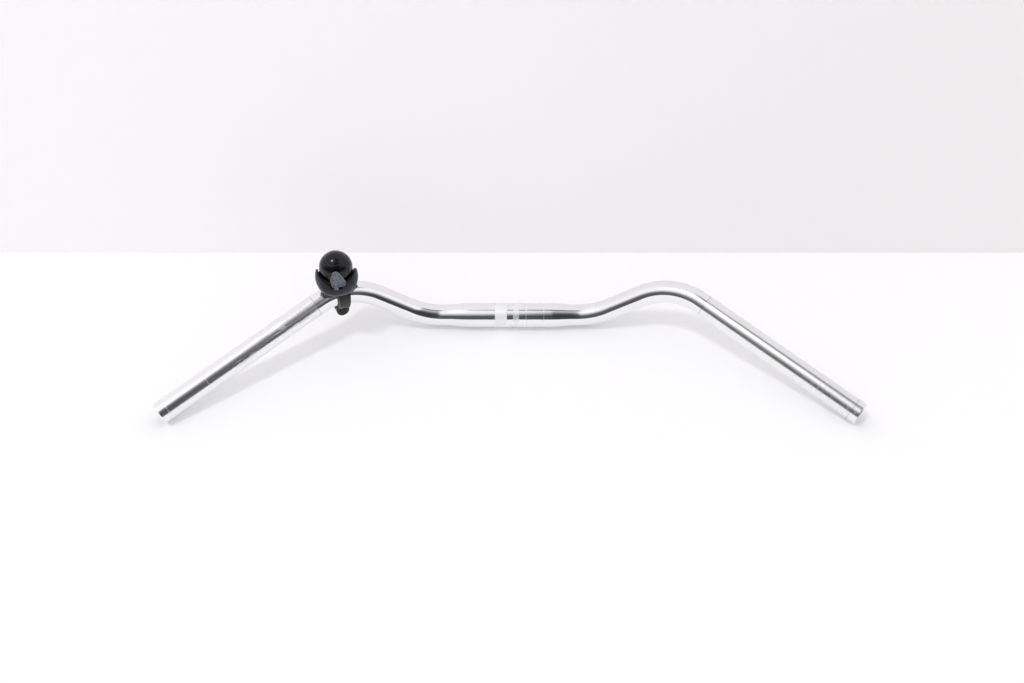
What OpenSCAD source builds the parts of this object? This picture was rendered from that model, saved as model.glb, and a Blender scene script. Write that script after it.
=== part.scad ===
// Riser handlebar of a city bicycle with a small flick bell clamped on its left upper bend.
// The origin is the middle of the stem clamp zone, on the tube's axis. X runs along the bar
// (the rider's right hand is at +X), Y points forwards on the bicycle and Z points up.

/* [Bar] */
// Outer diameter of the tube outside the clamp zone, mm
bar_d = 22.2; // [22:0.1:24]
// Wall of the tube, mm
wall = 2.2; // [1.6:0.1:3]
// From the middle to the point where the centre's line meets the riser's, mm
centre_half = 87.5; // [80:0.5:110]
// Sideways distance from that point to where the riser's line meets the grip's, mm
riser_run = 76; // [68:1:110]
// Height between those two points, mm
rise = 44; // [20:1:80]
// From the upper point to the open end, mm
grip_length = 220; // [170:1:260]
// Turn of each grip back towards the rider, seen from above, degrees
sweep = 38.5; // [15:0.5:50]
// Centre line radius of the lower bends, mm
lower_radius = 70; // [50:1:90]
// Centre line radius of the upper bends, mm
upper_radius = 65; // [50:1:80]
// Chamfer on the outer edge of both open ends, mm
end_chamfer = 0.5; // [0.2:0.1:1]

/* [Clamp zone] */
// Diameter of the swelled zone that the stem grips, mm
clamp_d = 25.4; // [25.4:0.1:31.8]
// Length of that zone at full diameter, mm
clamp_length = 87; // [50:1:96]
// Length of each taper from the clamp zone down to the bar, mm
taper_length = 22; // [12:1:24]

/* [Bell clamp] */
// How far round the left upper bend the bell sits, as an angle of the bend, degrees
bell_arc = 37.4; // [20:0.2:50]
// Roll of the bell about the tube, away from the outside of the bend, degrees
bell_roll = 41.8; // [0:0.2:60]
// Rubber liner between tube and band, mm
liner_t = 1; // [0.5:0.1:2]
// Thickness of the band, mm
band_t = 3.4; // [2:0.1:5]
// Width of the band along the tube, mm
band_width = 13; // [8:0.5:18]
// Height of the saddle's flat top above the tube's surface, mm
saddle_height = 3.9; // [3:0.1:6]
// Length of the saddle's flat top along the tube, mm
saddle_length = 34; // [24:1:40]
// Width of the saddle, mm
saddle_width = 21; // [12:1:22]
// Distance of the band from the middle of the bell, towards the stem, mm
band_shift = 2.5; // [0:0.5:9]
// Thickness of each lug beside the slit, mm
lug_t = 4; // [3:0.1:6]
// Width of the slit between the lugs, mm
slit = 2; // [1:0.1:4]
// Turn of the lugs away from straight under the bell, degrees
lug_turn = -3; // [-20:1:60]
// Diameter of the clamp screw, mm
clamp_screw_d = 4; // [3:0.1:5]

/* [Bell] */
// Turn of the thumb pad away from square to the tube, degrees
bell_turn = 20; // [0:1:60]
// Outer diameter of the cup, mm
cup_d = 42; // [36:0.2:50]
// Wall of the cup, mm
cup_wall = 1.5; // [1.2:0.1:2.4]
// Height of the cup from its flat foot to the tips of its two petals, mm
cup_height = 18.4; // [16:0.2:24]
// Height of the bottom of the front gap above the foot, mm
gap_height = 10.5; // [8:0.5:14]
// Gap between the dome and the cup's two petals, mm
dome_gap = 1; // [0.6:0.1:2]
// Sheet thickness of the dome, mm
dome_t = 1; // [0.8:0.1:1.6]
// Height of the dome from its mouth to the top of the crown, mm
dome_height = 23.1; // [20:0.1:34]
// Height of the crown above the round shoulder it grows out of, mm
crown_rise = 1; // [0.5:0.1:2]
// Diameter of the screw through the middle of the bell, mm
centre_screw_d = 5; // [4:0.1:6]

/* [Striker] */
// Distance of the pivot pin from the middle of the bell, mm
pivot_offset = 9; // [8:0.1:11]
// Diameter of the pivot pin, mm
pin_d = 2.5; // [2:0.1:3]
// Thickness of the lever, mm
lever_t = 3; // [2:0.1:3.2]
// Thickness of the thumb pad, mm
pad_t = 2.4; // [1.8:0.1:3.5]
// Width of the raised rim round the thumb pad, mm
pad_rim = 1.8; // [1:0.1:2.4]
// Depth of the hollow inside that rim, mm
pad_hollow = 0.8; // [0.3:0.1:1.2]
// Diameter of the hammer's round head, mm
hammer_d = 3.6; // [3:0.1:4.4]
// Wire diameter of the return spring, mm
wire_d = 0.7; // [0.5:0.1:0.9]
// Number of turns of the return spring
spring_turns = 5; // [3:1:6]
// Swing of the lever in the model, degrees
lever_angle = 0; // [-18:0.1:4]

/* [Hidden] */
$fn = 96;

bar_r = bar_d / 2;
clamp_r = clamp_d / 2;
// The bends are drawn in by this much on the radius, as a bent tube is, and each straight
// leg laps over its bends by leg_lap, so the two surfaces meet in an edge.
bend_draw = 0.1;
leg_lap = 0.6;

// The clamp zone's underside and both ends rest on one flat surface, which sets the drop.
drop = asin((rise + clamp_r) / norm([grip_length, bar_r])) - atan2(bar_r, grip_length);
riser_length = norm([riser_run, rise]);
lower_turn = atan2(rise, riser_run);
riser_dir = [cos(lower_turn), 0, sin(lower_turn)];
grip_dir = [cos(drop) * cos(sweep), -cos(drop) * sin(sweep), -sin(drop)];
upper_turn = acos(riser_dir * grip_dir);
lower_cut = lower_radius * tan(lower_turn / 2);
upper_cut = upper_radius * tan(upper_turn / 2);
centre_leg = centre_half - lower_cut;
riser_leg = riser_length - lower_cut - upper_cut;
grip_leg = grip_length - upper_cut;
// Roll from the lower bend's plane to the upper bend's, about the riser
riser_up = [-sin(lower_turn), 0, cos(lower_turn)];
upper_roll = atan2(grip_dir * [0, -1, 0], grip_dir * riser_up);

liner_r = bar_r + liner_t;
band_r = liner_r + band_t;
foot_z = bar_r + saddle_height;
saddle_depth = 6;
screw_reach = band_r + 3.2;
clamp_screw_r = clamp_screw_d / 2;
screw_slack = 0.15;
screw_head_r = clamp_screw_r + 1.6;
screw_head_h = 2.4;
nut_r = clamp_screw_d * 1.01;
nut_h = clamp_screw_d * 0.8;
nut_sink = 1.6;

cup_r = cup_d / 2;
cup_inner_r = cup_r - cup_wall;
cup_floor = 1.8;
cup_centre_z = foot_z + cup_r * 0.445;
foot_r = sqrt(cup_r ^ 2 - (cup_centre_z - foot_z) ^ 2);
cup_top_z = foot_z + cup_height;
gap_z = foot_z + gap_height;
gap_half = 6;
// The petals' edges slant up from beside the notch to the tips.
petal_z = gap_z + 3.1;
tip_r = sqrt(cup_r ^ 2 - (cup_top_z - cup_centre_z) ^ 2);
petal_slope = (cup_top_z - petal_z) / (tip_r - 1 - gap_half);
// Behind the tips the edge drops steeply to a low back.
back_z = gap_z - 4;
back_run = (cup_top_z - back_z) / 1.6;
foot_lip = 0.8;
hub_r = 4.2;
centre_screw_r = centre_screw_d / 2;
centre_slack = 0.1;

dome_r = sqrt(cup_inner_r ^ 2 - (cup_top_z - cup_centre_z) ^ 2) - dome_gap;
mouth_gap = 4.5;
mouth_z = gap_z + mouth_gap;
dome_top_z = mouth_z + dome_height;
crown_r = dome_r * 0.9;
crown_z = dome_top_z - crown_r;
shoulder_r = dome_r - 0.5;
shoulder_z = dome_top_z - crown_rise;
bush_r = 4.5;
bush_length = 12;
washer_t = 1;
bush_z = dome_top_z - dome_t - bush_length;
hub_top_z = bush_z - washer_t;

pin_r = pin_d / 2;
pin_slack = 0.05;
boss_r = 2.4;
lever_z = gap_z + 0.7;
lever_play = 0.05;
boss_top_z = lever_z - lever_play;
lever_boss_r = 3.4;
clip_t = 0.8;
clip_z = lever_z + lever_t + lever_play;
arm_width = 4;
arm_root = 1.8;
arm_root_h = 6;
pad_y = cup_r + 0.3;
pad_z = lever_z + 4;
hammer_arm_width = 3;
hammer_r = hammer_d / 2;
// The hammer rests just inside the dome's wall, to one side of the lever.
strike_gap = 0.65;
hammer_reach = dome_r - dome_t - hammer_r - strike_gap;
hammer_y = 3;
hammer_at = [-sqrt(hammer_reach ^ 2 - (pivot_offset - hammer_y) ^ 2), hammer_y];
hammer_z = mouth_z + 3.2;
hammer_shank_r = 1;
coil_r = boss_r + 0.3 + wire_d / 2;
coil_pitch = wire_d * 0.96;
coil_z = boss_top_z - 0.6 - wire_d / 2 - coil_pitch * (spring_turns - 1);

// One bend of the tube: it starts at the origin along +Z and turns towards +X.
module bend(r, radius, turn) {
    translate([radius, 0, 0]) rotate([90, 0, 0])
        rotate_extrude(angle = turn, start = 180 - turn) translate([radius, 0]) circle(r);
}

// Carries what follows round such a bend.
module past_bend(radius, turn) {
    translate([radius, 0, 0]) rotate([0, turn, 0]) translate([-radius, 0, 0]) children();
}

// Places what follows at the start of one side's lower bend; side is 1 for right, -1 for left.
module at_lower_bend(side) {
    rotate([0, 90 * side, 0]) translate([0, 0, centre_leg]) rotate([0, 0, side > 0 ? 180 : 0]) children();
}

module at_riser(side) {
    at_lower_bend(side) past_bend(lower_radius, lower_turn) children();
}

module at_upper_bend(side) {
    at_riser(side) translate([0, 0, riser_leg]) rotate([0, 0, side * upper_roll]) children();
}

module at_grip(side) {
    at_upper_bend(side) past_bend(upper_radius, upper_turn) children();
}

// The bar's outer form, or its bore when inset is the wall
module bar_form(inset, chamfer, overrun) {
    r = bar_r - inset;
    big_r = clamp_r - inset;
    half = clamp_length / 2;
    reach = centre_leg + leg_lap;
    rotate([0, 90, 0]) rotate_extrude() polygon([
        [0, -reach], [r, -reach], [r, -half - taper_length], [big_r, -half],
        [big_r, half], [r, half + taper_length], [r, reach], [0, reach]
    ]);
    for (side = [-1, 1]) {
        at_lower_bend(side) bend(r - bend_draw, lower_radius, lower_turn);
        at_riser(side) translate([0, 0, -leg_lap]) cylinder(h = riser_leg + 2 * leg_lap, r = r);
        at_upper_bend(side) bend(r - bend_draw, upper_radius, upper_turn);
        at_grip(side) translate([0, 0, -leg_lap]) rotate_extrude() polygon([
            [0, 0], [r, 0], [r, grip_leg + leg_lap - chamfer],
            [r - chamfer, grip_leg + leg_lap + overrun], [0, grip_leg + leg_lap + overrun]
        ]);
    }
}

module handlebar() {
    color("silver") difference() {
        bar_form(0, end_chamfer, 0);
        bar_form(wall, 0, 1);
    }
}

// Places what follows at the bell: X along the tube towards the left grip, Z along the
// bell's axis, and the origin on the tube's axis, back along the bend by shift.
module at_bell_clamp(shift = 0) {
    at_upper_bend(-1) past_bend(upper_radius, bell_arc - shift / upper_radius * 180 / PI)
        rotate([0, 0, -bell_roll]) rotate([0, -90, 0]) children();
}

// The same at the middle of the band
module at_band() {
    at_bell_clamp(band_shift) children();
}

// As at_bell_clamp, turned so that the thumb pad faces -Y
module at_bell() {
    at_bell_clamp() rotate([0, 0, 180 - bell_turn]) children();
}

// Revolves a section of the tube's surroundings along the bend, over a width centred on the
// place it is drawn at. In the section X points up along the bell's axis and Y to its back.
module along_bend(width) {
    turn = width / upper_radius * 180 / PI;
    rotate([0, 90, 0]) rotate([0, 0, bell_roll]) translate([upper_radius, 0, 0]) rotate([90, 0, 0])
        rotate_extrude(angle = turn, start = 180 - turn / 2)
            translate([upper_radius, 0]) rotate(-bell_roll) children();
}

// Section of a ring round the tube, its circles starting at the front, clear of the holes
module ring_section(outer, inner) {
    rotate(-90) difference() {
        circle(outer);
        circle(inner);
    }
}

// Places what follows with the lugs' direction along -Z.
module along_lugs() {
    rotate([-lug_turn, 0, 0]) children();
}

// The slit that lets the ring open, below and behind the tube
module ring_slit() {
    along_lugs() translate([-band_width, -slit / 2, -2 * screw_reach])
        cube([2 * band_width, slit, 2 * screw_reach]);
}

module clamp_liner() {
    color("dimgray") at_band() difference() {
        along_bend(band_width) ring_section(liner_r, bar_r);
        ring_slit();
    }
}

// The saddle's block over the liner, before its top is cut flat and its ends are bevelled
module saddle_block() {
    along_bend(saddle_length + 4) difference() {
        translate([foot_z - saddle_depth, -saddle_width / 2]) square([saddle_depth + 4, saddle_width]);
        rotate(-90) circle(liner_r + 0.3);
    }
}

// What the saddle's ends lose: a bevel below the flat top's edge, at both ends
module saddle_ends() {
    for (turn = [0, 180]) rotate([0, 0, turn]) translate([0, saddle_width, 0]) rotate([90, 0, 0])
        linear_extrude(2 * saddle_width) polygon([
            [saddle_length / 2 - 5, foot_z - saddle_depth], [saddle_length / 2, foot_z - 1.2],
            [saddle_length / 2, foot_z + 9], [saddle_length, foot_z + 9], [saddle_length, 0], [saddle_length / 2 - 5, 0]
        ]);
}

// The ring round the liner with its two lugs
module band_ring() {
    along_bend(band_width) ring_section(band_r, liner_r);
    along_lugs() translate([0, slit / 2 + lug_t, 0]) rotate([90, 0, 0]) linear_extrude(slit + 2 * lug_t) {
        translate([-band_width / 2, -screw_reach]) square([band_width, screw_reach - liner_r - 1]);
        translate([0, -screw_reach]) circle(band_width / 2);
    }
}

module clamp_band() {
    color("black") difference() {
        union() {
            at_band() band_ring();
            at_bell_clamp() difference() {
                saddle_block();
                saddle_ends();
            }
        }
        at_band() {
            ring_slit();
            along_lugs() translate([0, lug_t + slit, -screw_reach]) rotate([90, 0, 0])
                cylinder(h = 2 * (lug_t + slit), r = clamp_screw_r + screw_slack);
            along_lugs() translate([0, -slit / 2 - lug_t + nut_sink, -screw_reach]) rotate([90, 0, 0])
                cylinder(h = lug_t, r = nut_r + screw_slack, $fn = 6);
        }
        at_bell_clamp() {
            translate([-saddle_length, -saddle_length, foot_z]) cube(2 * saddle_length);
            centre_screw_hole();
        }
    }
}

// Round hole with a countersink below, up through the saddle; the head lies just over the liner
module centre_screw_hole() {
    head_r = centre_screw_r * 1.6 + centre_slack;
    hole_r = centre_screw_r + centre_slack;
    sink_z = liner_r + 0.5;
    rotate_extrude() polygon([
        [0, liner_r - 1], [head_r, liner_r - 1], [head_r, sink_z],
        [hole_r, sink_z + centre_screw_r * 0.6], [hole_r, foot_z + 2], [0, foot_z + 2]
    ]);
}

// Cheese head screw through both lugs, its head in front and its end in the nut behind
module clamp_screw() {
    shank = 2 * lug_t + slit + nut_h - nut_sink + 1;
    color("gainsboro") at_band() along_lugs()
        translate([0, lug_t + slit / 2, -screw_reach]) rotate([90, 0, 0]) difference() {
            union() {
                translate([0, 0, -screw_head_h]) cylinder(h = screw_head_h, r = screw_head_r);
                cylinder(h = shank, r = clamp_screw_r);
            }
            translate([-0.5, -screw_head_r, -screw_head_h]) cube([1, 2 * screw_head_r, 1.2]);
        }
}

module clamp_nut() {
    color("gainsboro") at_band() along_lugs()
        translate([0, -slit / 2 - lug_t + nut_sink, -screw_reach]) rotate([90, 0, 0]) difference() {
            cylinder(h = nut_h, r = nut_r, $fn = 6);
            translate([0, 0, -1]) cylinder(h = nut_h + 2, r = clamp_screw_r);
        }
}

// Half section of a round bowl, cut flat below and above
module bowl_section(r, bottom) {
    intersection() {
        translate([0, cup_centre_z]) circle(r);
        translate([0, bottom]) square([2 * r, cup_top_z - bottom]);
    }
}

module bell_base() {
    edge_z = petal_z + (cup_r - gap_half) * petal_slope;
    color([0.2, 0.22, 0.28]) at_bell() difference() {
        union() {
            difference() {
                union() {
                    rotate_extrude() bowl_section(cup_r, foot_z);
                    translate([0, 0, foot_z]) cylinder(h = foot_lip, r = foot_r + 0.5);
                }
                rotate_extrude() bowl_section(cup_inner_r, foot_z + cup_floor);
                translate([0, 2 * cup_r, 0]) rotate([90, 0, 0]) linear_extrude(4 * cup_r) polygon([
                    [-gap_half, gap_z], [gap_half, gap_z], [gap_half, petal_z], [cup_r, edge_z],
                    [cup_r, edge_z + cup_r], [-cup_r, edge_z + cup_r], [-cup_r, edge_z], [-gap_half, petal_z]
                ]);
                rotate([90, 0, 90]) translate([0, 0, -2 * cup_r]) linear_extrude(4 * cup_r) polygon([
                    [1, cup_top_z], [1 + back_run, back_z], [2 * cup_r, back_z],
                    [2 * cup_r, 2 * cup_top_z], [1, 2 * cup_top_z]
                ]);
            }
            translate([0, 0, foot_z]) cylinder(h = hub_top_z - foot_z, r = hub_r);
            translate([0, -pivot_offset, foot_z]) cylinder(h = boss_top_z - foot_z, r = boss_r);
        }
        translate([0, 0, foot_z - 1]) cylinder(h = hub_top_z, r = centre_screw_r + centre_slack);
        translate([0, -pivot_offset, foot_z + cup_floor]) cylinder(h = boss_top_z, r = pin_r);
    }
}

// Countersunk screw from inside the saddle up into the dome's bush
module centre_screw() {
    head_r = centre_screw_r * 1.6;
    color("gainsboro") at_bell() rotate_extrude() polygon([
        [0, liner_r], [head_r, liner_r], [head_r, liner_r + 0.5],
        [centre_screw_r, liner_r + 0.5 + centre_screw_r * 0.6],
        [centre_screw_r, bush_z + bush_length - 3], [0, bush_z + bush_length - 3]
    ]);
}

module hub_washer() {
    color("dimgray") at_bell() translate([0, 0, hub_top_z]) difference() {
        cylinder(h = washer_t, r = hub_r + 1);
        translate([0, 0, -1]) cylinder(h = washer_t + 2, r = centre_screw_r + centre_slack);
    }
}

// Half section of the dome's form, drawn in by inset
module dome_section(inset) {
    r = dome_r - inset;
    intersection() {
        union() {
            translate([0, mouth_z - 1]) square([r, shoulder_z - shoulder_r - mouth_z + 1]);
            translate([dome_r - shoulder_r, shoulder_z - shoulder_r]) circle(shoulder_r - inset);
            translate([0, mouth_z - 1]) square([dome_r - shoulder_r, shoulder_z - mouth_z + 1 - inset]);
            translate([0, crown_z]) circle(crown_r - inset);
        }
        translate([0, mouth_z - inset]) square([dome_r, dome_top_z]);
    }
}

module dome() {
    color([0.12, 0.12, 0.13]) at_bell() rotate_extrude() difference() {
        dome_section(0);
        dome_section(dome_t);
    }
}

// Threaded bush fixed under the crown
module dome_bush() {
    color("goldenrod") at_bell() difference() {
        intersection() {
            translate([0, 0, bush_z]) cylinder(h = bush_length + 1, r = bush_r);
            translate([0, 0, crown_z]) sphere(crown_r - dome_t);
        }
        translate([0, 0, bush_z - 1]) cylinder(h = bush_length - 1, r = centre_screw_r);
    }
}

module at_pivot() {
    at_bell() translate([0, -pivot_offset, 0]) children();
}

module pivot_pin() {
    color("gainsboro") at_pivot() translate([0, 0, foot_z + cup_floor])
        cylinder(h = clip_z + clip_t + 0.4 - foot_z - cup_floor, r = pin_r);
}

module pivot_clip() {
    color("gainsboro") at_pivot() translate([0, 0, clip_z]) difference() {
        cylinder(h = clip_t, r = pin_r + 1.2);
        translate([0, 0, -1]) cylinder(h = clip_t + 2, r = pin_r);
    }
}

// Closely wound torsion spring round the pin's boss, with one leg on the cup's floor side
// and one under the lever
module striker_spring() {
    leg = 5.2;
    color("silver") at_pivot() union() {
        for (i = [0 : spring_turns - 1])
            translate([0, 0, coil_z + i * coil_pitch]) rotate_extrude() translate([coil_r, 0]) circle(wire_d / 2, $fn = 32);
        translate([coil_r, 0, coil_z]) rotate([-90, 0, 0]) cylinder(h = leg, r = wire_d / 2 - 0.02, $fn = 32);
        translate([-coil_r, 0, coil_z + coil_pitch * (spring_turns - 1)]) rotate([-90, 0, 0])
            cylinder(h = leg / 2, r = wire_d / 2 - 0.02, $fn = 32);
    }
}

// Outline round a ring of circles [x, y, r] given anticlockwise: the circles themselves and
// the area inside the straight lines that touch them on the outside, a hair inside them.
function touch_angle(a, b) =
    atan2(b.y - a.y, b.x - a.x) - 90 + asin((a.z - b.z) / norm([b.x - a.x, b.y - a.y]));
function touch_point(c, angle) = [c.x, c.y] + (c.z - 0.01) * [cos(angle), sin(angle)];
module rounded_outline(circles) {
    last = len(circles) - 1;
    polygon([for (i = [0 : last]) let (
        here = circles[i], before = circles[i == 0 ? last : i - 1], after = circles[i == last ? 0 : i + 1]
    ) each [touch_point(here, touch_angle(before, here)), touch_point(here, touch_angle(here, after))]]);
    for (c = circles) translate([c.x, c.y]) circle(c.z);
}

// The pad's outline from the front, with corner radii less inset: two low corners, a right
// corner and a high one left of the middle
module pad_outline(inset) {
    rounded_outline([
        [-1, 3.2, 3.2 - inset], [6.4, 5.4, 3.2 - inset], [0.8, 15.6, 3.6 - inset], [-1.6, 9, 3.4 - inset]
    ]);
}

module striker_lever() {
    hammer_length = norm(hammer_at);
    hammer_turn = atan2(hammer_at.y, hammer_at.x);
    color([0.42, 0.45, 0.5]) at_pivot() rotate([0, 0, lever_angle]) difference() {
        union() {
            translate([0, 0, lever_z]) cylinder(h = lever_t, r = lever_boss_r);
            translate([-arm_width / 2, pivot_offset - pad_y - pad_t / 2, lever_z])
                cube([arm_width, pad_y + pad_t / 2 - pivot_offset, lever_t]);
            translate([-arm_width / 2, pivot_offset - pad_y - 0.2, lever_z])
                cube([arm_width, arm_root, arm_root_h]);
            rotate([0, 0, hammer_turn]) translate([0, -hammer_arm_width / 2, lever_z])
                cube([hammer_length, hammer_arm_width, lever_t]);
            translate([hammer_at.x, hammer_at.y, lever_z]) cylinder(h = lever_t, r = hammer_r);
            translate([0, pivot_offset - pad_y, pad_z]) rotate([90, 0, 0])
                linear_extrude(pad_t) pad_outline(0);
        }
        translate([0, pivot_offset - pad_y - pad_t + pad_hollow, pad_z]) rotate([90, 0, 0])
            linear_extrude(pad_t) pad_outline(pad_rim);
        translate([0, 0, lever_z - 1]) cylinder(h = lever_t + 2, r = pin_r + pin_slack);
        translate([hammer_at.x, hammer_at.y, lever_z - 1]) cylinder(h = lever_t + 2, r = hammer_shank_r);
    }
}

module hammer() {
    color("gainsboro") at_pivot() rotate([0, 0, lever_angle])
        translate([hammer_at.x, hammer_at.y, 0]) union() {
            translate([0, 0, lever_z]) cylinder(h = hammer_z - lever_z, r = hammer_shank_r);
            translate([0, 0, hammer_z]) sphere(hammer_r);
        }
}

handlebar();
clamp_liner();
clamp_band();
clamp_screw();
clamp_nut();
bell_base();
centre_screw();
hub_washer();
dome_bush();
dome();
pivot_pin();
pivot_clip();
striker_spring();
striker_lever();
hammer();
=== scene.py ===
import math

import bmesh
import bpy
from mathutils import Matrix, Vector


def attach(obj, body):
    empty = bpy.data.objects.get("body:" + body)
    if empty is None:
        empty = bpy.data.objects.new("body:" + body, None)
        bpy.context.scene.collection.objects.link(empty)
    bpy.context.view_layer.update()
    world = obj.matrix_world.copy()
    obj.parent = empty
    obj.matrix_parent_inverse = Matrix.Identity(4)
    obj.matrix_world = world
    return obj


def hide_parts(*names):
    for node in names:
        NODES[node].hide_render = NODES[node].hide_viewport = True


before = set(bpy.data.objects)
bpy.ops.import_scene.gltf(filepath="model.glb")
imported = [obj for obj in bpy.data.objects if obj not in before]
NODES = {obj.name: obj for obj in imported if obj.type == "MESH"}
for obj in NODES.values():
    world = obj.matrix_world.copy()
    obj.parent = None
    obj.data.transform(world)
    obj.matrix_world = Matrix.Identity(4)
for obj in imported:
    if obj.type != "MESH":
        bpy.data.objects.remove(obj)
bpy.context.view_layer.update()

# Sizes of the bar, in metres
GRIP_R = 0.0111
CLAMP_R = 0.0127
WALL = 0.0022
CENTRE_HALF = 0.0875
RISER_RUN, RISER_RISE = 0.076, 0.044
GRIP_LENGTH = 0.2197
LOWER_BEND, UPPER_BEND = 0.070, 0.065
CLAMP_HALF, TAPER = 0.0435, 0.022
RIM_EASE = 0.0004  # bevel on the rims of the open ends
RIM_ANGLE, SHARP_ANGLE = math.radians(60), math.radians(40)
RINGS, SIDES, BEND_STEPS = 420, 96, 200
SWEEP = math.radians(38.5)
# The grips drop until the rims of their ends lie on the table with the clamp zone
DROP = math.asin((RISER_RISE + CLAMP_R) / math.hypot(GRIP_LENGTH, GRIP_R)) \
    - math.atan2(GRIP_R, GRIP_LENGTH)
TABLE_Z = -CLAMP_R

# Marks on the bar: arc lengths from its middle, in metres, negative on the bell's side
GRIP_START = 0.2090
JAW_RUB, FACEPLATE_RUB = (-0.0152, -0.0036), (0.0034, 0.0088)
CLAMP_RINGS = (0.0164, 0.0346)
LEFT_LINES, RIGHT_LINE = (-0.3360, -0.3800), 0.3802
LEFT_WORN, RIGHT_SCORED = (-0.297, -0.214), (0.322, 0.386)

# The bell's seat on the tube's centre line, its axis, and the way its thumb pad faces
BELL_SEAT = (-0.17225452, -0.00980451, 0.03857670)
BELL_AXIS = (0.05478788, -0.01837756, 0.99832888)
PAD_OUT = (0.11149, -0.99347, -0.02441)
# Distances from the seat, along the axis and then along the pad's way
FOOT_RIM = (0.0146, 0.0158)
CROWN_STEP = (0.0474, 0.0486)
PAD_RIM = (0.02300, 0.02345)

# The studio: a table, a wall behind the bar, and the camera that was fitted to the tube's outline
STAGE_HALF, WALL_Y, WALL_TOP = 4, 0.115, 1.6
CAMERA_AT, CAMERA_TILT = (0.00198, -0.7769, 0.7381), math.radians(45)
# The picture's width and the focal length in its pixels, and the sensor's width in millimetres
PICTURE_WIDTH, FOCAL_PIXELS = 1024, 1034
SENSOR_WIDTH = 36


# Materials: expressions on sockets, and one way to add any node
class Term:
    """A socket in a shader tree. Arithmetic with it adds Math nodes."""

    def __init__(self, nodes, socket):
        self.nodes, self.socket = nodes, socket

    def maths(self, operation, *terms):
        return self.nodes.add("Math", {"operation": operation}, *terms)

    def __add__(self, other):
        return self.maths("ADD", self, other)

    def __sub__(self, other):
        return self.maths("SUBTRACT", self, other)

    def __rsub__(self, other):
        return self.maths("SUBTRACT", other, self)

    def __mul__(self, other):
        return self.maths("MULTIPLY", self, other)

    def __abs__(self):
        return self.maths("ABSOLUTE", self)

    __radd__ = __add__
    __rmul__ = __mul__

    def held(self, low=0.0, high=1.0):
        return self.maths("MINIMUM", self.maths("MAXIMUM", self, low), high)

    def step(self, start, end):
        """0 at start and before, 1 at end and after, smooth between; end may be the smaller."""
        return self.nodes.add("MapRange", {"interpolation_type": "SMOOTHSTEP"}, Value=self,
                              From_Min=start, From_Max=end)

    def band(self, start, end, soft):
        """1 from start to end, falling to 0 over soft on either side."""
        return self.step(start - soft, start) * self.step(end + soft, end)

    def line(self, middle, width, soft):
        """1 on a narrow line round its middle."""
        return self.band(middle - width / 2, middle + width / 2, soft)


class Nodes:
    """A shader tree, with the nodes that the finishes and the world share."""

    # Where a Mix node keeps its factor and its two colours, and the colour that it gives
    MIX_INPUTS, MIX_RESULT = (0, 6, 7), 2

    def __init__(self, tree):
        self.tree = tree

    def add(self, kind, settings=None, *ordered, out=0, **named):
        """Adds a ShaderNode of this kind. Its settings go first, and then its sockets' values."""
        node = self.tree.nodes.new("ShaderNode" + kind)
        for key, value in (settings or {}).items():
            setattr(node, key, value)
        sockets = dict(enumerate(ordered))
        sockets.update((key.replace("_", " "), value) for key, value in named.items())
        for key, value in sockets.items():
            self.link(node.inputs[key], value)
        return Term(self, node.outputs[out])

    def link(self, socket, value):
        if isinstance(value, Term):
            self.tree.links.new(value.socket, socket)
        elif socket.type == "RGBA" and len(value) == 3:
            socket.default_value = (*value, 1)
        else:
            socket.default_value = value

    def place(self):
        return self.add("TexCoord", out="Object")

    def light_path(self, ray):
        return self.add("LightPath", out=f"Is {ray} Ray")

    def part(self, vector, axis):
        return self.add("SeparateXYZ", None, vector, out=axis)

    def stretched(self, vector, scale):
        return self.add("Mapping", None, vector, Scale=scale)

    def noise(self, vector, scale, detail=2.0, roughness=0.5):
        return self.add("TexNoise", None, Vector=vector, Scale=scale, Detail=detail,
                        Roughness=roughness)

    def height_on_bell(self, direction):
        """Metres from the bell's seat in this direction."""
        from_seat = self.add("VectorMath", {"operation": "SUBTRACT"}, self.place(), BELL_SEAT)
        return self.add("VectorMath", {"operation": "DOT_PRODUCT"}, from_seat, direction,
                        out="Value")

    def mix(self, factor, one, other):
        """A colour between two colours."""
        node = self.tree.nodes.new("ShaderNodeMix")
        node.data_type = "RGBA"
        for socket, value in zip(self.MIX_INPUTS, (factor, one, other)):
            self.link(node.inputs[socket], value)
        return Term(self, node.outputs[self.MIX_RESULT])


class Finish(Nodes):
    """A named material on one Principled BSDF."""

    def __init__(self, name, **constants):
        self.material = bpy.data.materials.new(name)
        self.material.use_nodes = True
        super().__init__(self.material.node_tree)
        self.shader = self.tree.nodes["Principled BSDF"]
        self.set(**constants)

    def set(self, **inputs):
        for key, value in inputs.items():
            self.link(self.shader.inputs[key.replace("_", " ")], value)

    def bump(self, height, distance, strength=1.0):
        """Sends a height in 0 to 1 to the normal, distance metres deep."""
        self.set(Normal=self.add("Bump", None, Height=height, Distance=distance, Strength=strength))


def put_on(finish, *objects):
    """This finish alone on each object."""
    for obj in objects:
        obj.data.materials.clear()
        obj.data.materials.append(finish.material)


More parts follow.
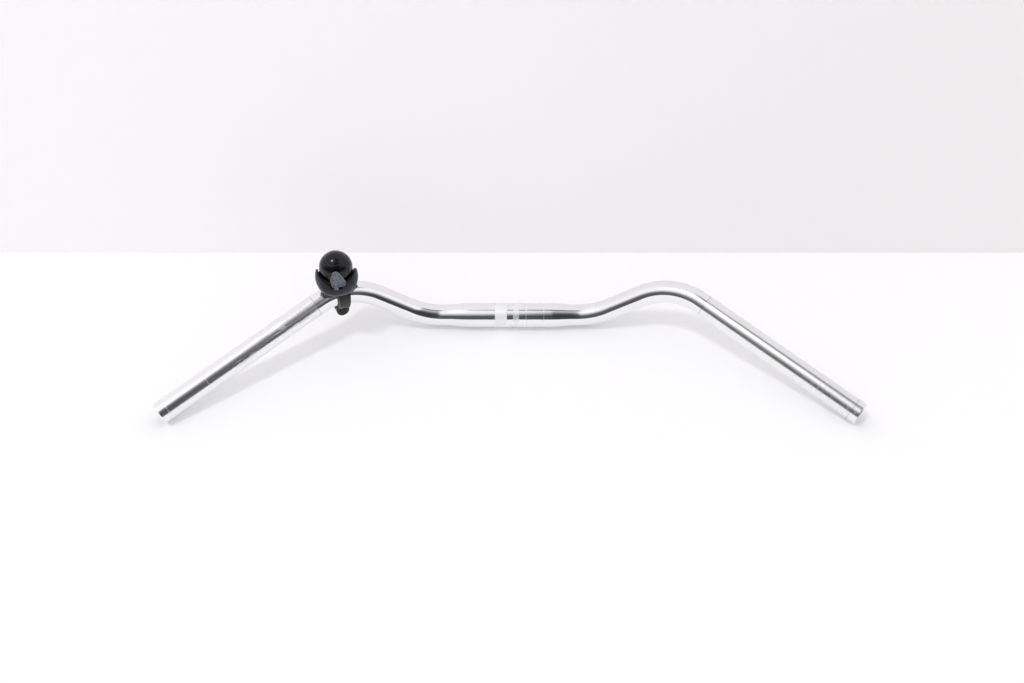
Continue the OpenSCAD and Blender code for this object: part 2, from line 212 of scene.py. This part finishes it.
# Finishes
def polished_aluminium():
    """Buffed tube with ground grip zones, rubbed clamp marks, and the lines and wear of use.
    Its patterns follow each point's place on the straight blank, before the tube was bent."""
    f = Finish("polished aluminium")
    blank = f.add("Attribute", {"attribute_name": "blank"}, out="Vector")
    along = f.part(blank, "Z")
    away = abs(along)

    smears = f.noise(f.stretched(blank, (1, 1, 0.35)), 90, 3)
    turned = f.noise(f.stretched(blank, (0.02, 0.02, 1)), 3200, 2, 0.6)
    scores = f.noise(f.stretched(blank, (0.012, 0.012, 1)), 1100, 1, 0.5)
    ground = away.step(GRIP_START - 0.0004, GRIP_START + 0.0002)
    seam = away.band(GRIP_START - 0.0002, GRIP_START + 0.0003, 0.0002)

    # Clamp zone: two bands that a stem rubbed dull, and fine rings beside them
    uneven = f.noise(f.stretched(blank, (1, 1, 2)), 260, 3, 0.7)
    dulled = along.band(*JAW_RUB, 0.0006) * (0.72 + uneven * 0.4) \
        + along.band(*FACEPLATE_RUB, 0.0008) * (0.3 + uneven * 0.3)
    near_ring, far_ring = (along.line(middle, 0.0004, 0.0003) for middle in CLAMP_RINGS)

    # Grips: turned lines near the ends, streaks where the left is worn, scores on the right
    inner_line, outer_line = (along.line(middle, 0.0006, 0.0003) for middle in LEFT_LINES)
    cut = along.line(RIGHT_LINE, 0.0008, 0.0003) * uneven
    flecks = f.noise(f.stretched(blank, (1, 1, 0.12)), 420, 3, 0.6).step(0.52, 0.70)
    streaks = along.band(*LEFT_WORN, 0.012) * flecks
    hairlines = f.noise(f.stretched(blank, (0.05, 0.05, 1)), 1900, 1, 0.5).step(0.60, 0.66)
    fine = along.band(*RIGHT_SCORED, 0.008) * hairlines

    dirt = seam * 0.6 + cut * 0.7 + fine * 0.35 + ground * scores.step(0.62, 0.75) * 0.25
    rough = 0.085 + smears * 0.05 + ground * (0.06 + turned * 0.08) + dulled * 0.35 \
        + (near_ring + far_ring) * 0.25 + (inner_line + outer_line) * uneven * 0.3 \
        + streaks * 0.3 + fine * 0.2
    f.set(Base_Color=f.mix(dirt.held(), (0.90, 0.90, 0.905), (0.35, 0.35, 0.36)),
          Metallic=(1.0 - dulled * 0.85).held(), Roughness=rough.held(0.05, 0.6))
    f.bump(ground * turned * 0.6 + ground * scores * 0.4, 0.00003, 0.5)
    return f


def black_lacquer():
    """Gloss black with a little dust, and the small step that rings the dome's crown."""
    f = Finish("black lacquer", Specular_IOR_Level=0.3, Coat_Weight=0.12, Coat_Roughness=0.05)
    dust = f.noise(f.place(), 900, 4, 0.7).step(0.58, 0.75)
    f.set(Base_Color=f.mix(dust * 0.5, (0.003, 0.003, 0.0045), (0.016, 0.016, 0.02)),
          Roughness=0.14 + f.noise(f.place(), 140, 3) * 0.1)
    foot, top = CROWN_STEP
    f.bump(f.height_on_bell(BELL_AXIS).step(top, foot), 0.0008)
    return f


def slate_nylon():
    """Dark moulded nylon, with a painted highlight: a pale line along the rim of the cup's foot."""
    f = Finish("slate nylon", Specular_IOR_Level=0.25)
    grain = f.noise(f.place(), 2600, 3, 0.6)
    cloud = f.noise(f.place(), 120, 2)
    moulded = f.mix(cloud, (0.006, 0.008, 0.014), (0.016, 0.020, 0.036))
    # Painted highlight: the foot's rim is made paler, as if light caught its edge
    rim = f.height_on_bell(BELL_AXIS).band(*FOOT_RIM, 0.0001)
    f.set(Base_Color=f.mix(rim * (0.6 + cloud * 0.5), moulded, (0.26, 0.25, 0.23)),
          Roughness=0.32 + grain * 0.12)
    f.bump(grain, 0.00004, 0.3)
    return f


def grey_nylon():
    """Grey nylon, bluer and mottled in the thumb pad's hollow, warmer on its worn rim."""
    f = Finish("grey nylon")
    grain = f.noise(f.place(), 2400, 3, 0.6)
    cloud = f.noise(f.place(), 420, 3, 0.6).step(0.35, 0.7)
    hollow = f.mix(cloud, (0.080, 0.100, 0.135), (0.17, 0.20, 0.255))
    worn = f.mix(cloud, (0.085, 0.082, 0.080), (0.135, 0.130, 0.125))
    f.set(Base_Color=f.mix(f.height_on_bell(PAD_OUT).step(*PAD_RIM), hollow, worn),
          Roughness=0.42 + grain * 0.12)
    f.bump(grain, 0.00004, 0.3)
    return f


def black_nylon():
    f = Finish("black nylon")
    grain = f.noise(f.place(), 1800, 4, 0.65)
    cloud = f.noise(f.place(), 110, 2)
    f.set(Base_Color=f.mix(cloud, (0.010, 0.010, 0.011), (0.022, 0.022, 0.024)),
          Roughness=0.34 + grain * 0.2)
    f.bump(grain, 0.00005, 0.35)
    return f


def grained(name, fineness, dark, pale, rough, uneven, **constants):
    """Returns a finish with one fine grain in its colour and roughness, and that grain."""
    f = Finish(name, **constants)
    grain = f.noise(f.place(), fineness, 3, 0.6)
    f.set(Base_Color=f.mix(grain, dark, pale), Roughness=rough + grain * uneven)
    return f, grain


def liner_rubber():
    f, grain = grained("liner rubber", 1500, (0.012, 0.012, 0.012), (0.028, 0.028, 0.028), 0.65, 0.15)
    f.bump(grain, 0.00005, 0.4)
    return f


def steel(name, dark, pale, rough, uneven):
    f, grain = grained(name, 1200, dark, pale, rough, uneven, Metallic=1.0)
    f.bump(grain, 0.00003, 0.25)
    return f


def plated_steel():
    return steel("plated steel", (0.55, 0.56, 0.57), (0.68, 0.68, 0.67), 0.2, 0.18)


def blackened_steel():
    return steel("blackened steel", (0.030, 0.030, 0.032), (0.075, 0.072, 0.070), 0.38, 0.2)


def bush_brass():
    f, _ = grained("bush brass", 900, (0.60, 0.42, 0.18), (0.70, 0.52, 0.25), 0.25, 0.15, Metallic=1.0)
    return f


# The bar: one tube swept along its bent centre line
class Tree:
    """A Geometry Nodes tree with named inputs for its sizes."""

    SOCKET_KINDS = {float: "NodeSocketFloat", int: "NodeSocketInt",
                    bpy.types.Material: "NodeSocketMaterial"}

    def __init__(self, name, **inputs):
        self.tree = bpy.data.node_groups.new(name, "GeometryNodeTree")
        self.sizes = inputs
        self.sockets = {}
        self.outer_socket("Geometry", "NodeSocketGeometry")
        for key, value in inputs.items():
            self.sockets[key] = self.outer_socket(key.replace("_", " "), self.SOCKET_KINDS[type(value)])
        self.outer_socket("Geometry", "NodeSocketGeometry", "OUTPUT")
        self.entry = self.tree.nodes.new("NodeGroupInput")

    def outer_socket(self, name, kind, way="INPUT"):
        return self.tree.interface.new_socket(name, in_out=way, socket_type=kind)

    def size(self, key):
        return self.entry.outputs[key.replace("_", " ")]

    def add(self, kind, settings=None, inputs=None, out=0):
        node = self.tree.nodes.new(kind)
        for key, value in (settings or {}).items():
            setattr(node, key, value)
        for key, value in (inputs or {}).items():
            if isinstance(value, bpy.types.NodeSocket):
                self.tree.links.new(value, node.inputs[key])
            else:
                node.inputs[key].default_value = value
        return node.outputs[out]

    def maths(self, operation, *values):
        return self.add("ShaderNodeMath", {"operation": operation}, dict(enumerate(values)))

    def x_of(self, vector):
        """The first output of Separate XYZ."""
        return self.add("ShaderNodeSeparateXYZ", inputs={0: vector})

    def store(self, geometry, name, kind, value):
        """Stores a value of this kind on the geometry's points."""
        return self.add("GeometryNodeStoreNamedAttribute", {"data_type": kind, "domain": "POINT"},
                        {"Geometry": geometry, "Name": name, "Value": value})

    def stored(self, name, kind):
        return self.add("GeometryNodeInputNamedAttribute", {"data_type": kind}, {"Name": name})

    def finish(self, geometry, material):
        """Ends the tree in Realize Instances and Set Material."""
        real = self.add("GeometryNodeRealizeInstances", inputs={0: geometry})
        done = self.add("GeometryNodeSetMaterial", inputs={0: real, "Material": material})
        self.tree.links.new(done, self.tree.nodes.new("NodeGroupOutput").inputs[0])

    def mesh(self, name, base):
        """Runs the tree on base, and returns a plain mesh object at the origin."""
        scene = bpy.context.scene
        holder = bpy.data.objects.new(name + " path", base)
        scene.collection.objects.link(holder)
        modifier = holder.modifiers.new("nodes", "NODES")
        modifier.node_group = self.tree
        for key, socket in self.sockets.items():
            modifier[socket.identifier] = self.sizes[key]
        made = evaluated_mesh(holder)
        bpy.data.objects.remove(holder)
        made.name = name
        obj = bpy.data.objects.new(name, made)
        scene.collection.objects.link(obj)
        return obj


def evaluated_mesh(obj):
    graph = bpy.context.evaluated_depsgraph_get()
    return bpy.data.meshes.new_from_object(obj.evaluated_get(graph))


def settled(obj, kind, **settings):
    """Applies one modifier of this kind, and leaves a plain mesh."""
    modifier = obj.modifiers.new(kind, kind)
    for key, value in settings.items():
        setattr(modifier, key, value)
    made = evaluated_mesh(obj)
    obj.modifiers.clear()
    old, obj.data = obj.data, made
    bpy.data.meshes.remove(old)


def bar_tree(metal):
    """Sweeps a ring along the filleted path; the ring widens through the clamp zone."""
    t = Tree("bent tube", Grip_Radius=GRIP_R, Clamp_Radius=CLAMP_R, Clamp_Half=CLAMP_HALF,
             Taper_Length=TAPER, Lower_Bend=LOWER_BEND, Upper_Bend=UPPER_BEND,
             Rings=RINGS, Sides=SIDES, Metal=metal)
    place = t.add("GeometryNodeInputPosition")
    path = t.add("GeometryNodeMeshToCurve", inputs={0: t.entry.outputs[0]})
    out_x = t.maths("ABSOLUTE", t.x_of(place))
    upper = t.maths("GREATER_THAN", out_x, CENTRE_HALF + RISER_RUN / 2)
    turn = t.add("ShaderNodeMix", {"data_type": "FLOAT"},
                 {0: upper, 2: t.size("Lower_Bend"), 3: t.size("Upper_Bend")})
    bent = t.add("GeometryNodeFilletCurve", {"mode": "POLY"},
                 {"Curve": path, "Radius": turn, "Count": BEND_STEPS})
    rings = t.add("GeometryNodeResampleCurve", inputs={"Curve": bent, "Count": t.size("Rings")})

    # Each ring's arc length from the middle of the bar, and its radius
    way = t.add("GeometryNodeSplineParameter", out="Length")
    middle = t.maths("MULTIPLY", t.add("GeometryNodeSplineLength"), 0.5)
    away = t.maths("ABSOLUTE", t.maths("SUBTRACT", way, middle))
    along = t.maths("MULTIPLY", away, t.maths("SIGN", t.x_of(place)))
    radius = t.add("ShaderNodeMapRange", {"interpolation_type": "SMOOTHSTEP"}, {
        "Value": away, "From Min": t.size("Clamp_Half"),
        "From Max": t.maths("ADD", t.size("Clamp_Half"), t.size("Taper_Length")),
        "To Min": t.size("Clamp_Radius"), "To Max": t.size("Grip_Radius")})
    rings = t.store(rings, "along", "FLOAT", along)
    rings = t.store(rings, "ring radius", "FLOAT", radius)
    rings = t.add("GeometryNodeSetCurveNormal", {"mode": "Z_UP"}, {"Curve": rings})

    ring = t.add("GeometryNodeCurvePrimitiveCircle", {"mode": "RADIUS"},
                 {"Resolution": t.size("Sides"), "Radius": 1.0})
    ring = t.store(ring, "section", "FLOAT_VECTOR", place)
    tube = t.add("GeometryNodeCurveToMesh", inputs={
        "Curve": rings, "Profile Curve": ring, "Scale": radius, "Fill Caps": False})

    # The place each point had on the straight blank, before the tube was bent
    wide = t.add("ShaderNodeVectorMath", {"operation": "SCALE"},
                 {0: t.stored("section", "FLOAT_VECTOR"), "Scale": t.stored("ring radius", "FLOAT")})
    ends = t.add("ShaderNodeCombineXYZ", inputs={"Z": t.stored("along", "FLOAT")})
    blank = t.add("ShaderNodeVectorMath", {"operation": "ADD"}, {0: wide, 1: ends})
    tube = t.store(tube, "blank", "FLOAT_VECTOR", blank)
    for spent in ("section", "ring radius", "along"):
        tube = t.add("GeometryNodeRemoveAttribute", inputs={"Geometry": tube, "Name": spent})
    t.finish(tube, t.size("Metal"))
    return t


def point_outwards(obj):
    form = bmesh.new()
    form.from_mesh(obj.data)
    bmesh.ops.recalc_face_normals(form, faces=form.faces)
    form.to_mesh(obj.data)
    form.free()


def build_bar(metal):
    grip = Vector((math.cos(DROP) * math.cos(SWEEP), -math.cos(DROP) * math.sin(SWEEP),
                   -math.sin(DROP)))
    low, high = Vector((CENTRE_HALF, 0, 0)), Vector((CENTRE_HALF + RISER_RUN, 0, RISER_RISE))
    right = [low, high, high + grip * GRIP_LENGTH]
    points = [Vector((-p.x, p.y, p.z)) for p in reversed(right)] + right
    path = bpy.data.meshes.new("bar centre line")
    path.from_pydata(points, [(k, k + 1) for k in range(len(points) - 1)], [])
    bar = bar_tree(metal.material).mesh("bent_tube", path)

    point_outwards(bar)
    settled(bar, "SOLIDIFY", thickness=WALL, offset=-1, use_rim=True)
    settled(bar, "BEVEL", width=RIM_EASE, segments=2, limit_method="ANGLE", angle_limit=RIM_ANGLE)
    bar.data.shade_smooth()
    bar.data.set_sharp_from_angle(angle=SHARP_ANGLE)
    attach(bar, "bar")
    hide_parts("handlebar")


build_bar(polished_aluminium())

BELL_FINISHES = {
    black_lacquer: ("dome",),
    slate_nylon: ("bell_base",),
    grey_nylon: ("striker_lever",),
    black_nylon: ("clamp_band", "hub_washer"),
    liner_rubber: ("clamp_liner",),
    bush_brass: ("dome_bush",),
    blackened_steel: ("clamp_screw", "clamp_nut"),
    plated_steel: ("centre_screw", "pivot_pin", "pivot_clip", "striker_spring", "hammer"),
}
for finish, names in BELL_FINISHES.items():
    put_on(finish(), *(NODES[name] for name in names))


# Studio: table, wall, light and camera
def stage_plane(name, low, high, finish):
    """A plane between two opposite corners, with two of its edges along X."""
    mesh = bpy.data.meshes.new(name)
    corners = [low, (high[0], *low[1:]), high, (low[0], *high[1:])]
    mesh.from_pydata(corners, [], [range(len(corners))])
    obj = bpy.data.objects.new(name, mesh)
    bpy.context.scene.collection.objects.link(obj)
    put_on(finish, obj)


def lift(finish, glow):
    """Adds this colour to a backdrop as the camera and the polished metal see it."""
    seen = finish.light_path("Camera") + finish.light_path("Glossy")
    finish.set(Emission_Color=finish.mix(seen.held(), (0, 0, 0), glow), Emission_Strength=1.0)


def table_white():
    f = Finish("table white", Roughness=0.7, Specular_IOR_Level=0.2)
    cloud = f.noise(f.place(), 6, 2)
    f.set(Base_Color=f.mix(cloud, (0.885, 0.885, 0.885), (0.895, 0.895, 0.895)))
    lift(f, (0.125, 0.125, 0.13))
    return f


def wall_white():
    """Pale from the front, and not there from behind, so that the other views see the object."""
    f = Finish("wall white", Roughness=0.8, Specular_IOR_Level=0.1)
    # Painted shade: the wall's colour and its glow darken from left to right, where less light falls
    shade_across = f.part(f.place(), "X").step(-0.5, 0.5)
    f.set(Base_Color=f.mix(shade_across, (0.90, 0.86, 0.895), (0.83, 0.79, 0.815)))
    lift(f, f.mix(shade_across, (0.15, 0.15, 0.15), (0.12, 0.13, 0.12)))
    back = f.add("NewGeometry", out="Backfacing")
    clear = f.add("BsdfTransparent")
    both = f.add("MixShader", None, back, Term(f, f.shader.outputs[0]), clear)
    f.tree.links.new(both.socket, f.tree.nodes["Material Output"].inputs["Surface"])
    return f


def studio_world():
    """Even light all round. Metal and gloss mirror the dim side of the room behind the camera,
    which brightens upwards to the lamps, later on the right, where a dark curtain hangs."""
    world = bpy.data.worlds.new("studio")
    bpy.context.scene.world = world
    world.use_nodes = True
    nodes = Nodes(world.node_tree)
    sky = nodes.tree.nodes["Background"]
    way = nodes.add("TexCoord", out="Generated")
    x, y, z = (nodes.part(way, axis) for axis in "XYZ")

    # Degrees above the level way towards the camera: 90 is overhead, and 180 level behind the wall
    rise = nodes.add("Math", {"operation": "ARCTAN2"}, z, y * -1.0) * (180 / math.pi)
    camera_side = rise.band(-4.0, 178.0, 1.0)
    curtain = x.band(0.08, 0.45, 0.1)
    fade_start, fade_end = 28 + curtain * 14, 66 + curtain * 46
    lit = rise.step(fade_start, fade_end)
    beam = rise.band(86, 97, 5) * x.band(0.03, 0.45, 0.12)

    dim = nodes.mix(x.step(-0.45, -0.75), (0.095, 0.098, 0.115), (0.15, 0.15, 0.16))
    dim = nodes.mix(curtain, dim, (0.045, 0.046, 0.055))
    lamps = nodes.mix(rise.step(88, 120), (1.0, 1.0, 1.0), (0.84, 0.84, 0.85))
    lamps = nodes.mix(beam, lamps, (0.22, 0.22, 0.24))
    room = nodes.mix(lit, dim, lamps)
    glow = nodes.mix(nodes.light_path("Glossy") * camera_side, (0.86, 0.86, 0.87), room)
    nodes.link(sky.inputs["Color"], nodes.mix(nodes.light_path("Camera"), glow, (1.0, 1.0, 1.0)))
    sky.inputs["Strength"].default_value = 1.0


def key_light():
    lamp = bpy.data.lights.new("key", "SUN")
    lamp.energy = 0.62
    lamp.angle = math.radians(9)
    lamp.color = (1.0, 0.99, 0.97)
    obj = bpy.data.objects.new("key", lamp)
    obj.rotation_euler = Vector((0.354, 0.24, -1.0)).to_track_quat("-Z", "Y").to_euler()
    bpy.context.scene.collection.objects.link(obj)


def camera():
    lens = bpy.data.cameras.new("camera")
    lens.sensor_width = SENSOR_WIDTH
    lens.lens = FOCAL_PIXELS / PICTURE_WIDTH * SENSOR_WIDTH
    obj = bpy.data.objects.new("camera", lens)
    obj.location = CAMERA_AT
    obj.rotation_euler = (CAMERA_TILT, 0, 0)
    bpy.context.scene.collection.objects.link(obj)
    bpy.context.scene.camera = obj


stage_plane("table", (-STAGE_HALF, -STAGE_HALF, TABLE_Z), (STAGE_HALF, STAGE_HALF, TABLE_Z),
            table_white())
stage_plane("wall", (-STAGE_HALF, WALL_Y, TABLE_Z), (STAGE_HALF, WALL_Y, WALL_TOP), wall_white())
studio_world()
key_light()
camera()
bpy.context.scene.view_settings.view_transform = "Standard"

bpy.context.view_layer.update()
